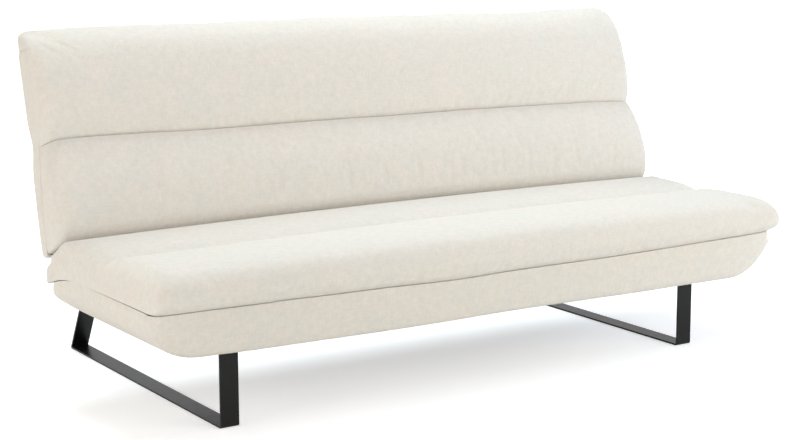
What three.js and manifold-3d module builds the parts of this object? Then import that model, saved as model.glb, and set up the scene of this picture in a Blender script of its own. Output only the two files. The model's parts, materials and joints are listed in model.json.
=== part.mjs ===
// A click clack sofa bed: an upholstered base on two steel sled legs, a channelled seat cushion, and a
// padded back that swings down level with the seat on a pair of ratchet hinges.
// Millimetres. X runs along the sofa, Z up from the floor. Lengths in Y are written from the front face
// of the legs, and the finished sofa is then moved so that its origin is the middle of its footprint.
import * as THREE from "three";
import { mergeVertices } from "three/addons/utils/BufferGeometryUtils.js";
import Module from "manifold-3d";

const wasm = await Module();
wasm.setup();

// Driving dimensions.
const SOFA_LENGTH = 1900;
const NOSE_OVERHANG = 138; // how far the seat cushion stands out in front of the legs
const RUNNER_LENGTH = 917; // floor runner, front face of the legs to its rear tip
const BASE_BOTTOM = 195; // underside of the upholstered base
const BASE_DEPTH = 121; // from the base's underside to its rim, where the seat cushion starts
const CUSHION_THICKNESS = 94; // seat cushion at its ends, above the rim
const SEAT_CROWN = 9; // how much higher the cushion is at mid length
const HINGE_Y = 511.5;
const HINGE_RISE = 14; // hinge line above the rim
const BACK_LEAN = 14.5; // degrees behind upright, at rest
const BACK_HEIGHT = 592; // along the back, from the hinge line to its top
const FOLD_ANGLE = 90 - BACK_LEAN; // from upright to level

// Heights that follow from them.
const SEAM_HEIGHT = BASE_BOTTOM + BASE_DEPTH;
const SEAT_HEIGHT = SEAM_HEIGHT + CUSHION_THICKNESS;
const HINGE_Z = SEAM_HEIGHT + HINGE_RISE;

// Clearances.
const GAP = 0.3; // between pieces that touch
const RUNNING_GAP = 0.3; // round a pin or a bolt
const OVERRUN = 5; // how far a cutter runs past what it cuts

// Sled legs of flat bar.
const STRIP_WIDTH = 49;
const STRIP_THICKNESS = 5;
const BEND_RADIUS = 8; // outside of the bends
const LEG_INSET = 125.5; // from the outer face of the seat frame to the middle of a leg
const REAR_RAKE = 29.6; // degrees, of the rear upright
const LEG_BOLT_RADIUS = 4;
const LEG_BOLT_LENGTH = 60;
const BOLT_HEAD_RADIUS = 7;
const BOLT_HEAD_HEIGHT = 4;
const BOLT_END = 2; // thread that shows past a nut
const LEG_BOLT_FRONT_Y = 60;
const LEG_BOLT_REAR_Y = 440;

// Upholstered base.
const BASE_INSET = 6; // from the seat cushion's end to the base's
const BASE_FRONT = 88; // in front of the legs, at the rim
const BASE_SLOPE = 25; // how much further back the bottom front edge is
const BASE_REAR = 528;
const BASE_WALL = 12;
const BASE_FLOOR = 6;
const END_SWEEP_LENGTH = 130; // quarter ellipse that lifts each end of the bottom
const END_SWEEP_HEIGHT = 96;
const BASE_EDGE_ROUND = 12;
const BASE_FRONT_CORNER = 24;
const BASE_REAR_CORNER = 34;
const DUST_OPENING_INSET = 54.5; // from the middle of a leg
const DUST_OPENING_FRONT = 20;
const DUST_OPENING_REAR = 470;
const DUST_COVER_LAP = 12;
const DUST_COVER_THICKNESS = 2;

// Timber frames.
const FRAME_INSET = 104; // from the base's end to the outer face of the seat's end rails
const RAIL_THICKNESS = 25;
const RAIL_LIFT = 37; // underside of the seat frame above the base's underside
const RAIL_DROP = 14; // top of the seat frame below the rim
const SLAT_COUNT = 7;
const SLAT_END_SPACE = 240; // from the outer face of the seat frame to the middle of the end slats
const SLAT_WIDTH = 60;
const SLAT_THICKNESS = 8;
const SLAT_BOW = 22;
const SLAT_POCKET = 12;

// Seat cushion. Each pair is a share of its depth from the nose and of its height from the seam.
const SEAT_REAR_OVERRUN = 17.5; // how far the cushion's rear runs past the hinge line
const SEAT_END_ROUND = 46;
const SEAT_NOSE_CORNER = 24; // how far the nose is drawn in at the very end
const SEAT_UNDERSIDE_LIFT_SHARE = 0.2; // how much of the end rounding the underside takes
const SEAT_PROFILE_SHARES = [
  [0.075, 0],
  [0.029, 0.12],
  [0.006, 0.33],
  [0, 0.55],
  [0.014, 0.74],
  [0.048, 0.88],
  [0.115, 0.97],
  [0.24, 1],
  [0.355, 0.99],
  [0.423, 0.94],
  [0.471, 0.83],
  [0.519, 0.91],
  [0.586, 0.97],
  [0.691, 0.99],
  [0.768, 0.98],
  [0.816, 0.95],
  [0.84, 0.87],
  [0.864, 0.72],
  [0.893, 0.57],
  [0.915, 0.46],
  [0.93, 0.37],
  [0.95, 0.34],
  [0.975, 0.325],
  [0.991, 0.25],
  [1, 0.11],
  [0.995, 0],
];

// Back, in its own frame: along its thickness from the hinge line, and up from it.
const BACK_REAR = 30; // rear face behind the hinge line
const BACK_FACE = 30; // plane that the panels lie against, in front of the hinge line
const BACK_BOTTOM = 20;
const BACK_WALL = 8;
const BACK_COVER_DROP = 44; // from the top of the back to the top of the cover
const BACK_COVER_ROUND = 14;
const BACK_COVER_CORNER = 26;
const BACK_SEAM = 301; // seam between the two panels
const BACK_RAIL_WIDTH = 50;
const BACK_RAIL_INSET = 6; // frame rail to the inside of the cover
const LOWER_PANEL_BOTTOM = 30;
const LOWER_PANEL_BULGE = 84;
const LOWER_PANEL_END_ROUND = 28;
const LOWER_PANEL_FLATTENING_SHARE = 0.88; // of its bulge, lost at the very end
const LOWER_PANEL_SHARES = [
  [0, 0.08],
  [0.01, 0.28],
  [0.03, 0.48],
  [0.062, 0.66],
  [0.1, 0.78],
  [0.15, 0.88],
  [0.22, 0.96],
  [0.32, 1],
  [0.45, 1],
  [0.57, 0.97],
  [0.7, 0.86],
  [0.83, 0.7],
  [0.93, 0.54],
  [0.985, 0.4],
  [1, 0.26],
];
const UPPER_PANEL_BULGE = 52;
const UPPER_PANEL_HOOK = 58; // how far it rolls over the top of the cover
const UPPER_PANEL_END_ROUND = 28;
const UPPER_PANEL_FLATTENING_SHARE = 0.8;
const UPPER_PANEL_CROWN = 3; // how much higher the top is at mid length
const PANEL_END_SHRINK_SHARE = 0.03; // of a panel's height, lost at the very end
// Shares of the panel's height, and of its bulge forwards or, where negative, of its hook.
const UPPER_PANEL_SHARES = [
  [0, 0.42],
  [0.014, 0.66],
  [0.066, 0.82],
  [0.15, 0.94],
  [0.27, 1],
  [0.41, 1],
  [0.53, 0.94],
  [0.66, 0.8],
  [0.75, 0.64],
  [0.85, 0.3],
  [0.94, -0.22],
  [0.985, -0.55],
  [1, -0.76],
  [0.985, -0.94],
  [0.95, -1],
];

// Ratchet hinges.
const PLATE_THICKNESS = 4;
const CHEEK_THICKNESS = 3;
const PIVOT_RADIUS = 6;
const PIVOT_HEAD_RADIUS = 11;
const PIVOT_HEAD_HEIGHT = 4;
const EYE_RADIUS = 18;
const TOOTH_COUNT = 6; // steps between upright and level
const TIP_RADIUS = 40;
const ROOT_RADIUS = 35;
const NOTCH_AT = -175; // degrees round the pivot, from straight up towards the rear
const FORWARD_TRAVEL = 5; // degrees, past upright, that opens the last notch
const OPEN_NOTCH_SLACK = 6; // degrees, in front of the pawl once the back is pulled forward
const TOOTH_LAND = 1.5; // degrees, flat tip of a tooth
const ARM_LENGTH = 150;
const ARM_HALF_WIDTH = 14;
const ARM_OFFSET = 4;
const ARM_BOLTS_DOWN = [52, 16]; // from the end of the arm
const PAWL_REACH = 48; // from the pawl's pin to its nose
const PAWL_SWING = 8; // degrees, from lifted off to seated in a notch
const PAWL_BOSS_RADIUS = 9;
const PAWL_PIN_RADIUS = 4;
const PAWL_PIN_HEAD_RADIUS = 7;
const PAWL_DEPTH = 9;
const NOSE_GAP = 0.6; // between nose and tooth
const STOP_LUG = 8;
const STOP_RADIUS = 29;
const STOP_GAP = 0.6;
const PLATE_BOLT_RADIUS = 4;
const PLATE_BOLTS_Y = [-118, -36]; // from the hinge line
const PLATE_BOLT_LIFT = 11; // above the underside of the seat frame
const PLATE_TAB_RADIUS = 14;
const SPRING_THICKNESS = 1.2;
const SPRING_SAG = 3;
const SPRING_LUG_AT = [-84, -52];
const HINGE_SLOT_CLEARANCE = 8;
const HINGE_SLOT_FRONT = 72; // from the hinge line to the front of the slots

// Colours and finishes.
const fabric = new THREE.MeshStandardMaterial({ color: 0xe4ded4, roughness: 0.95, metalness: 0 });
const blackSteel = new THREE.MeshStandardMaterial({ color: 0x1c1c1d, roughness: 0.45, metalness: 0.6 });
const zincSteel = new THREE.MeshStandardMaterial({ color: 0xa9abac, roughness: 0.4, metalness: 0.9 });
const pine = new THREE.MeshStandardMaterial({ color: 0xd2b07c, roughness: 0.75, metalness: 0 });
const birch = new THREE.MeshStandardMaterial({ color: 0xdcc193, roughness: 0.6, metalness: 0 });
const lining = new THREE.MeshStandardMaterial({ color: 0x232323, roughness: 0.95, metalness: 0 });

const radians = THREE.MathUtils.degToRad;

// Half lengths from the middle of the sofa, each inside the one before.
const baseHalfLength = SOFA_LENGTH / 2 - BASE_INSET;
const frameHalfLength = baseHalfLength - FRAME_INSET;
const legX = frameHalfLength - LEG_INSET;
const dustOpeningHalfLength = legX - DUST_OPENING_INSET;

// Heights of the seat frame, and of the bolts that hold the hinges to it, from the hinge line.
const railBottom = BASE_BOTTOM + RAIL_LIFT;
const railTop = SEAM_HEIGHT - RAIL_DROP;
const plateBolts = PLATE_BOLTS_Y.map((y) => [y, railBottom + PLATE_BOLT_LIFT - HINGE_Z]);
const backCoverTop = BACK_HEIGHT - BACK_COVER_DROP;

// A closed geometry as a solid that can be joined and cut.
function solid(geometry) {
  const bare = geometry.index ? geometry.toNonIndexed() : geometry.clone();
  bare.deleteAttribute("normal");
  bare.deleteAttribute("uv");
  const merged = mergeVertices(bare);
  return new wasm.Manifold(
    new wasm.Mesh({
      numProp: 3,
      vertProperties: merged.attributes.position.array,
      triVerts: new Uint32Array(merged.index.array),
    }),
  );
}

function geometryOf(body) {
  const mesh = body.getMesh();
  const geometry = new THREE.BufferGeometry();
  geometry.setAttribute("position", new THREE.BufferAttribute(mesh.vertProperties, 3));
  geometry.setIndex(new THREE.BufferAttribute(mesh.triVerts, 1));
  geometry.computeVertexNormals();
  return geometry;
}

function cut(geometry, ...cutters) {
  return geometryOf(cutters.reduce((body, cutter) => body.subtract(solid(cutter)), solid(geometry)));
}

function join(geometry, ...others) {
  return geometryOf(others.reduce((body, other) => body.add(solid(other)), solid(geometry)));
}

function mesh(name, geometry, material, parent) {
  const piece = new THREE.Mesh(geometry, material);
  piece.name = name;
  parent.add(piece);
  return piece;
}

// A box between two values on each axis.
function block([x0, x1], [y0, y1], [z0, z1]) {
  return new THREE.BoxGeometry(x1 - x0, y1 - y0, z1 - z0).translate(
    (x0 + x1) / 2,
    (y0 + y1) / 2,
    (z0 + z1) / 2,
  );
}

// A round bar along X.
function rodAlongX(radius, x0, x1, [y, z], sides = 20) {
  return new THREE.CylinderGeometry(radius, radius, x1 - x0, sides)
    .rotateZ(Math.PI / 2)
    .translate((x0 + x1) / 2, y, z);
}

// A round bar along Z.
function rodAlongZ(radius, z0, z1, [x, y], sides = 20) {
  return new THREE.CylinderGeometry(radius, radius, z1 - z0, sides)
    .rotateX(Math.PI / 2)
    .translate(x, y, (z0 + z1) / 2);
}

// A plate whose outline is drawn in Y and Z, thick along X.
function plateAlongX(outline, x0, thickness, curveSegments = 8) {
  const yzx = new THREE.Matrix4().makeBasis(
    new THREE.Vector3(0, 1, 0),
    new THREE.Vector3(0, 0, 1),
    new THREE.Vector3(1, 0, 0),
  );
  return new THREE.ExtrudeGeometry(outline, { depth: thickness, bevelEnabled: false, curveSegments })
    .applyMatrix4(yzx)
    .translate(x0, 0, 0);
}

// A closed skin over rings of equal length. The rings run counterclockwise as seen from the end that
// the loft goes towards, and planeOf gives a point's two coordinates in the plane of a ring.
function loft(rings, planeOf) {
  const count = rings[0].length;
  const positions = rings.flat().flatMap((p) => [p.x, p.y, p.z]);
  const index = [];
  for (let i = 0; i + 1 < rings.length; i++) {
    for (let j = 0; j < count; j++) {
      const a = i * count + j;
      const b = i * count + ((j + 1) % count);
      index.push(a, b, b + count, a, b + count, a + count);
    }
  }
  const last = (rings.length - 1) * count;
  const capOf = (ring) => THREE.ShapeUtils.triangulateShape(ring.map(planeOf), []);
  capOf(rings[0]).forEach(([a, b, c]) => index.push(a, c, b));
  capOf(rings.at(-1)).forEach(([a, b, c]) => index.push(last + a, last + b, last + c));
  const geometry = new THREE.BufferGeometry();
  geometry.setAttribute("position", new THREE.Float32BufferAttribute(positions, 3));
  geometry.setIndex(index);
  return geometry;
}

const seenFromAbove = (p) => new THREE.Vector2(p.x, p.y);
const seenFromTheRight = (p) => new THREE.Vector2(p.y, p.z);

// A rounded rectangle at one height, counterclockwise from above.
function roundedRing(z, halfLength, front, rear, frontCorner, rearCorner) {
  const steps = 6;
  const corners = [
    [halfLength - frontCorner, front + frontCorner, frontCorner, -90],
    [halfLength - rearCorner, rear - rearCorner, rearCorner, 0],
    [-halfLength + rearCorner, rear - rearCorner, rearCorner, 90],
    [-halfLength + frontCorner, front + frontCorner, frontCorner, 180],
  ];
  return corners.flatMap(([x, y, radius, start]) =>
    Array.from({ length: steps + 1 }, (_, i) => {
      const angle = radians(start + (90 * i) / steps);
      return new THREE.Vector3(x + radius * Math.cos(angle), y + radius * Math.sin(angle), z);
    }),
  );
}

// Stations along the sofa for a soft piece with round ends: each has its x, how far along the rounding
// it is (0 on the straight, 1 at the tip) and how near to mid length.
function softStations(halfLength, endRound, straightCount, roundCount) {
  const right = [];
  for (let i = 0; i <= straightCount; i++) {
    const x = ((halfLength - endRound) * i) / straightCount;
    right.push({ x, tuck: 0 });
  }
  for (let i = 1; i <= roundCount; i++) {
    const angle = ((Math.PI / 2) * i) / roundCount;
    right.push({ x: halfLength - endRound + endRound * Math.sin(angle), tuck: 1 - Math.cos(angle) });
  }
  const left = right
    .slice(1)
    .reverse()
    .map(({ x, tuck }) => ({ x: -x, tuck }));
  return [...left, ...right].map((s) => ({ ...s, middle: 1 - (s.x / halfLength) ** 2 }));
}

// Points on a smooth curve through pairs of shares.
function smoothShares(pairs, count) {
  const curve = new THREE.SplineCurve(pairs.map(([a, b]) => new THREE.Vector2(a, b)));
  return curve.getSpacedPoints(count).map((p) => [p.x, p.y]);
}

// A bolt along X, its head at the outer end and its nut at the inner end.
function boltAlongX(radius, innerX, outerX, at) {
  return join(
    rodAlongX(radius, innerX - GAP - BOLT_HEAD_HEIGHT - BOLT_END, outerX + GAP + BOLT_HEAD_HEIGHT / 2, at),
    rodAlongX(BOLT_HEAD_RADIUS, outerX + GAP, outerX + GAP + BOLT_HEAD_HEIGHT, at),
    rodAlongX(BOLT_HEAD_RADIUS, innerX - GAP - BOLT_HEAD_HEIGHT, innerX - GAP, at, 6),
  );
}

const sofa = new THREE.Group();
sofa.position.y = (NOSE_OVERHANG - RUNNER_LENGTH) / 2;

// Sled legs: one closed loop of flat bar each, bolted up into the leg rails.
const legTop = BASE_BOTTOM - GAP;

function legBoltHole(y, radius) {
  return rodAlongZ(radius, legTop - STRIP_THICKNESS - OVERRUN, legTop + LEG_BOLT_LENGTH, [legX, y]);
}

// Draws a closed outline through corners, each rounded from a given way before it to as far after it.
function roundedOutline(path, corners, way) {
  corners.forEach((corner, i) => {
    const [before, after] = [corners.at(i - 1), corners[(i + 1) % corners.length]].map((next) =>
      new THREE.Vector2().subVectors(next, corner).setLength(way).add(corner),
    );
    if (i === 0) path.moveTo(before.x, before.y);
    else path.lineTo(before.x, before.y);
    path.quadraticCurveTo(corner.x, corner.y, after.x, after.y);
  });
  path.closePath();
  return path;
}

function sledLeg() {
  const rake = Math.tan(radians(REAR_RAKE));
  const slant = STRIP_THICKNESS / Math.cos(radians(REAR_RAKE));
  const innerTop = legTop - STRIP_THICKNESS;
  const at = (y, z) => new THREE.Vector2(y, z);
  const outside = [
    at(0, 0),
    at(RUNNER_LENGTH, 0),
    at(RUNNER_LENGTH - rake * legTop, legTop),
    at(0, legTop),
  ];
  const inside = [
    at(STRIP_THICKNESS, STRIP_THICKNESS),
    at(STRIP_THICKNESS, innerTop),
    at(RUNNER_LENGTH - rake * innerTop - slant, innerTop),
    at(RUNNER_LENGTH - rake * STRIP_THICKNESS - slant, STRIP_THICKNESS),
  ];
  const outline = roundedOutline(new THREE.Shape(), outside, BEND_RADIUS);
  outline.holes.push(roundedOutline(new THREE.Path(), inside, BEND_RADIUS - STRIP_THICKNESS));
  return cut(
    plateAlongX(outline, legX - STRIP_WIDTH / 2, STRIP_WIDTH),
    legBoltHole(LEG_BOLT_FRONT_Y, LEG_BOLT_RADIUS + RUNNING_GAP),
    legBoltHole(LEG_BOLT_REAR_Y, LEG_BOLT_RADIUS + RUNNING_GAP),
  );
}

function legBolt(y) {
  const seat = legTop - STRIP_THICKNESS - GAP;
  return join(
    rodAlongZ(LEG_BOLT_RADIUS, seat - BOLT_HEAD_HEIGHT / 2, seat + LEG_BOLT_LENGTH, [legX, y]),
    rodAlongZ(BOLT_HEAD_RADIUS, seat - BOLT_HEAD_HEIGHT, seat, [legX, y]),
  );
}

// Seat frame of timber rails with bowed slats let into the front and rear ones.
const baseInnerFront = -BASE_FRONT + BASE_SLOPE + BASE_WALL;
const baseInnerRear = BASE_REAR - BASE_WALL;
const frontRailY = [baseInnerFront + GAP, baseInnerFront + GAP + RAIL_THICKNESS];
const rearRailY = [baseInnerRear - GAP - RAIL_THICKNESS, baseInnerRear - GAP];
const railZ = [railBottom, railTop];
const railEnd = frameHalfLength - RAIL_THICKNESS - GAP;
const slatTop = SEAM_HEIGHT - SLAT_BOW;
const slatPitch = (2 * (frameHalfLength - SLAT_END_SPACE)) / (SLAT_COUNT - 1);
const slatX = Array.from({ length: SLAT_COUNT }, (_, i) => (i - (SLAT_COUNT - 1) / 2) * slatPitch);

// A slat of the given length, lying along Y from the origin, its straight ends' underside at zero.
function slat(length) {
  const outline = new THREE.Shape();
  const rise = 2 * SLAT_BOW;
  outline.moveTo(0, 0);
  outline.lineTo(SLAT_POCKET, 0);
  outline.quadraticCurveTo(length / 2, rise, length - SLAT_POCKET, 0);
  outline.lineTo(length, 0);
  outline.lineTo(length, SLAT_THICKNESS);
  outline.lineTo(length - SLAT_POCKET, SLAT_THICKNESS);
  outline.quadraticCurveTo(length / 2, rise + SLAT_THICKNESS, SLAT_POCKET, SLAT_THICKNESS);
  outline.lineTo(0, SLAT_THICKNESS);
  return plateAlongX(outline, -SLAT_WIDTH / 2, SLAT_WIDTH, 10);
}

// Cutters for the slats' pockets in a rail, each open towards the middle of the frame.
function slatPockets([y0, y1], [z0, z1]) {
  return slatX.map((x) =>
    block([x - SLAT_WIDTH / 2 - GAP, x + SLAT_WIDTH / 2 + GAP], [y0 - GAP, y1 + GAP], [z0 - GAP, z1 + GAP]),
  );
}

function seatFrame(parent) {
  const slatZ = [slatTop - SLAT_THICKNESS, slatTop];
  const frontPockets = slatPockets([frontRailY[1] - SLAT_POCKET, frontRailY[1] + OVERRUN], slatZ);
  const rearPockets = slatPockets([rearRailY[0] - OVERRUN, rearRailY[0] + SLAT_POCKET], slatZ);
  mesh("seat_front_rail", cut(block([-railEnd, railEnd], frontRailY, railZ), ...frontPockets), pine, parent);
  mesh("seat_rear_rail", cut(block([-railEnd, railEnd], rearRailY, railZ), ...rearPockets), pine, parent);
  slatX.forEach((x, i) => {
    const length = rearRailY[0] - frontRailY[1] + 2 * SLAT_POCKET;
    const piece = mesh(`seat_slat_${i + 1}`, slat(length), birch, parent);
    piece.position.set(x, frontRailY[1] - SLAT_POCKET, slatZ[0]);
  });
}

function seatSide(side, hand) {
  const endRail = cut(
    block([frameHalfLength - RAIL_THICKNESS, frameHalfLength], [frontRailY[0], rearRailY[1]], railZ),
    ...plateBolts.map(([y, z]) =>
      rodAlongX(
        PLATE_BOLT_RADIUS + RUNNING_GAP,
        frameHalfLength - RAIL_THICKNESS - OVERRUN,
        frameHalfLength + OVERRUN,
        [HINGE_Y + y, HINGE_Z + z],
      ),
    ),
  );
  mesh(`seat_end_rail_${hand}`, endRail, pine, side);
  const legRail = cut(
    block(
      [legX - RAIL_THICKNESS / 2, legX + RAIL_THICKNESS / 2],
      [frontRailY[1] + GAP, rearRailY[0] - GAP],
      [BASE_BOTTOM + BASE_FLOOR + GAP, railTop],
    ),
    legBoltHole(LEG_BOLT_FRONT_Y, LEG_BOLT_RADIUS + RUNNING_GAP),
    legBoltHole(LEG_BOLT_REAR_Y, LEG_BOLT_RADIUS + RUNNING_GAP),
  );
  mesh(`leg_rail_${hand}`, legRail, pine, side);
  mesh(`sled_leg_${hand}`, sledLeg(), blackSteel, side);
  mesh(`leg_bolt_front_${hand}`, legBolt(LEG_BOLT_FRONT_Y), blackSteel, side);
  mesh(`leg_bolt_rear_${hand}`, legBolt(LEG_BOLT_REAR_Y), blackSteel, side);
}

// Base cover: a tray whose bottom sweeps up at both ends, open at the top and, for the dust cover, below.
function sweepLength(z, bottom, halfLength, sweepLengthX, sweepHeight) {
  const up = Math.min(1, Math.max(0, (z - bottom) / sweepHeight));
  return halfLength - sweepLengthX * (1 - Math.sqrt(1 - (1 - up) ** 2));
}

// Which part of an edge rounding of the given radius is left to go at a height above its start.
function edgeRoundAt(rise, radius) {
  const left = Math.max(0, 1 - rise / radius);
  return radius * (1 - Math.sqrt(1 - left ** 2));
}

function baseSkin(bottom, wall, top) {
  const levelShares = [0, 0.025, 0.07, 0.14, 0.26, 0.45, 0.7, 1];
  const height = SEAM_HEIGHT - bottom;
  const rings = levelShares.map((share) => {
    const z = bottom + share * height;
    const edge = edgeRoundAt(z - bottom, BASE_EDGE_ROUND);
    const slope = BASE_SLOPE * (1 - share);
    const halfLength = sweepLength(
      z,
      bottom,
      baseHalfLength - wall,
      END_SWEEP_LENGTH - wall,
      END_SWEEP_HEIGHT,
    );
    return roundedRing(
      z,
      halfLength,
      -BASE_FRONT + slope + wall + edge,
      BASE_REAR - wall - edge,
      BASE_FRONT_CORNER - wall,
      BASE_REAR_CORNER - wall,
    );
  });
  if (top > SEAM_HEIGHT) rings.push(rings.at(-1).map((p) => p.clone().setZ(top)));
  return loft(rings, seenFromAbove);
}

// Where the hinge plates pass, on the right-hand side.
const plateX = frameHalfLength + GAP;
const armX = plateX + PLATE_THICKNESS + GAP;
const cheekX = armX + PLATE_THICKNESS + GAP;
const slotX = [
  frameHalfLength - PIVOT_HEAD_HEIGHT - HINGE_SLOT_CLEARANCE,
  cheekX + CHEEK_THICKNESS + PIVOT_HEAD_HEIGHT + HINGE_SLOT_CLEARANCE,
];
const slotRadius = TIP_RADIUS + HINGE_SLOT_CLEARANCE;

function hingeSlots(bottom, top) {
  const y = [HINGE_Y - HINGE_SLOT_FRONT, HINGE_Y + slotRadius];
  return [slotX, [-slotX[1], -slotX[0]]].map((x) => block(x, y, [bottom, top]));
}

function baseCover() {
  const boltHoles = [legX, -legX].flatMap((x) =>
    [LEG_BOLT_FRONT_Y, LEG_BOLT_REAR_Y].map((y) =>
      rodAlongZ(LEG_BOLT_RADIUS + RUNNING_GAP, BASE_BOTTOM - OVERRUN, BASE_BOTTOM + BASE_FLOOR + OVERRUN, [x, y]),
    ),
  );
  const dustOpening = block(
    [-dustOpeningHalfLength, dustOpeningHalfLength],
    [-DUST_OPENING_FRONT, DUST_OPENING_REAR],
    [BASE_BOTTOM - OVERRUN, BASE_BOTTOM + BASE_FLOOR + OVERRUN],
  );
  return cut(
    baseSkin(BASE_BOTTOM, 0, SEAM_HEIGHT),
    baseSkin(BASE_BOTTOM + BASE_FLOOR, BASE_WALL, SEAM_HEIGHT + OVERRUN),
    dustOpening,
    ...boltHoles,
    ...hingeSlots(HINGE_Z - slotRadius, SEAM_HEIGHT + OVERRUN),
  );
}

function dustCover() {
  return block(
    [-dustOpeningHalfLength - DUST_COVER_LAP, dustOpeningHalfLength + DUST_COVER_LAP],
    [-DUST_OPENING_FRONT - DUST_COVER_LAP, DUST_OPENING_REAR + DUST_COVER_LAP],
    [BASE_BOTTOM - GAP - DUST_COVER_THICKNESS, BASE_BOTTOM - GAP],
  );
}

// Seat cushion: crowned along its length, with one sewn channel, a full nose and drawn-in ends.
function seatCushion() {
  const bottom = SEAM_HEIGHT + GAP;
  const depth = HINGE_Y + SEAT_REAR_OVERRUN + NOSE_OVERHANG;
  const profile = smoothShares(SEAT_PROFILE_SHARES, 40);
  const stations = softStations(SOFA_LENGTH / 2, SEAT_END_ROUND, 4, 5);
  const rings = stations.map(({ x, tuck, middle }) =>
    profile.map(([along, up]) => {
      const height = SEAT_HEIGHT + SEAT_CROWN * middle * up - bottom;
      const drawnIn = SEAT_END_ROUND * tuck;
      const y = -NOSE_OVERHANG + along * depth + SEAT_NOSE_CORNER * tuck * (1 - along);
      const z = bottom + up * height - drawnIn * (up - SEAT_UNDERSIDE_LIFT_SHARE * (1 - up));
      return new THREE.Vector3(x, y, z);
    }),
  );
  // The profile runs from the front seam over the top, so it is turned round to be counterclockwise.
  rings.forEach((ring) => ring.reverse());
  return cut(loft(rings, seenFromTheRight), ...hingeSlots(SEAM_HEIGHT, HINGE_Z + slotRadius));
}

// Back frame, in the back's own frame: Y is its thickness, Z runs up it.
const backHalfFrame = plateX + PLATE_THICKNESS; // outer face of its end rails, beside the hinge arms
const backRailY = [-BACK_FACE, BACK_REAR - BACK_WALL - GAP];
const backRailBottom = BACK_BOTTOM + BACK_WALL + BACK_RAIL_INSET;
const backRailTop = backCoverTop - BACK_WALL - BACK_RAIL_INSET;

function backFrame(parent) {
  const length = backHalfFrame - RAIL_THICKNESS - GAP;
  const bottomZ = [backRailBottom, backRailBottom + BACK_RAIL_WIDTH];
  const topZ = [backRailTop - BACK_RAIL_WIDTH, backRailTop];
  const slatFront = -BACK_FACE + SLAT_BOW;
  const slatY = [slatFront, slatFront + SLAT_THICKNESS];
  const bottomPockets = slatPockets(slatY, [bottomZ[1] - SLAT_POCKET, bottomZ[1] + OVERRUN]);
  const topPockets = slatPockets(slatY, [topZ[0] - OVERRUN, topZ[0] + SLAT_POCKET]);
  mesh("back_bottom_rail", cut(block([-length, length], backRailY, bottomZ), ...bottomPockets), pine, parent);
  mesh("back_top_rail", cut(block([-length, length], backRailY, topZ), ...topPockets), pine, parent);
  slatX.forEach((x, i) => {
    const slatLength = topZ[0] - bottomZ[1] + 2 * SLAT_POCKET;
    const piece = mesh(`back_slat_${i + 1}`, slat(slatLength), birch, parent);
    piece.rotation.x = Math.PI / 2;
    piece.position.set(x, slatY[1], bottomZ[1] - SLAT_POCKET);
  });
}

const armBolts = ARM_BOLTS_DOWN.map((down) => [ARM_OFFSET, ARM_LENGTH - down]);

function backEndRail() {
  return cut(
    block([backHalfFrame - RAIL_THICKNESS, backHalfFrame], backRailY, [backRailBottom, backRailTop]),
    ...armBolts.map((at) =>
      rodAlongX(
        PLATE_BOLT_RADIUS + RUNNING_GAP,
        backHalfFrame - RAIL_THICKNESS - OVERRUN,
        backHalfFrame + OVERRUN,
        at,
      ),
    ),
  );
}

// Rear cover: a tray laid on its back, its open side facing forwards against the two panels.
function coverSkin(inset, floor, top) {
  const levelShares = [0, 0.12, 0.4, 1];
  const round = BACK_COVER_ROUND - inset;
  const rings = levelShares.map((share) => {
    const z = floor + share * round;
    const edge = edgeRoundAt(z - floor, round);
    return roundedRing(
      z,
      baseHalfLength - inset - edge,
      BACK_BOTTOM + inset + edge,
      backCoverTop - inset - edge,
      BACK_COVER_CORNER - inset - edge / 2,
      BACK_COVER_CORNER - inset - edge / 2,
    );
  });
  rings.push(rings.at(-1).map((p) => p.clone().setZ(top)));
  return loft(rings, seenFromAbove);
}

function backRearCover() {
  const depth = BACK_REAR + BACK_FACE;
  const tray = cut(coverSkin(0, 0, depth), coverSkin(BACK_WALL, BACK_WALL, depth + OVERRUN));
  tray.rotateX(Math.PI / 2).translate(0, BACK_REAR, 0);
  const armSlots = [armX, -armX - PLATE_THICKNESS].map((x) =>
    block(
      [x - GAP, x + PLATE_THICKNESS + GAP],
      [-BACK_FACE - OVERRUN, BACK_REAR - BACK_WALL],
      [BACK_BOTTOM - OVERRUN, BACK_BOTTOM + BACK_WALL + OVERRUN],
    ),
  );
  return cut(tray, ...armSlots);
}

// Panels of the back: puffed forwards from a flat rear side, flatter towards their ends.
const panelFace = -BACK_FACE - GAP;

function backPanel(profile, endRound, bottom, top, flatteningShare, arch) {
  const middleZ = (bottom + top) / 2;
  const ledge = backCoverTop + GAP;
  const rings = softStations(SOFA_LENGTH / 2, endRound, 5, 6).map(({ x, tuck, middle }) =>
    profile.map(([y, z]) => {
      const forwards = Math.min(0, y - panelFace);
      const drawn = y - forwards * tuck * flatteningShare;
      const crowned = UPPER_PANEL_CROWN * Math.max(0, (z - ledge) / (BACK_HEIGHT - ledge));
      const arched = arch * ((top - z) / (top - bottom)) ** 2;
      const raised = z + (crowned + arched) * middle;
      return new THREE.Vector3(x, drawn, middleZ + (raised - middleZ) * (1 - PANEL_END_SHRINK_SHARE * tuck));
    }),
  );
  return loft(rings, seenFromTheRight);
}

function lowerPanel() {
  const bottom = LOWER_PANEL_BOTTOM;
  const top = BACK_SEAM - GAP / 2;
  const front = smoothShares(LOWER_PANEL_SHARES, 30).map(([up, out]) => [
    panelFace - out * LOWER_PANEL_BULGE,
    bottom + up * (top - bottom),
  ]);
  // Counterclockwise from the right: down the front, then up the flat rear side.
  const profile = [[panelFace, top], ...front.reverse(), [panelFace, bottom]];
  return backPanel(profile, LOWER_PANEL_END_ROUND, bottom, top, LOWER_PANEL_FLATTENING_SHARE, SEAT_CROWN);
}

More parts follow.
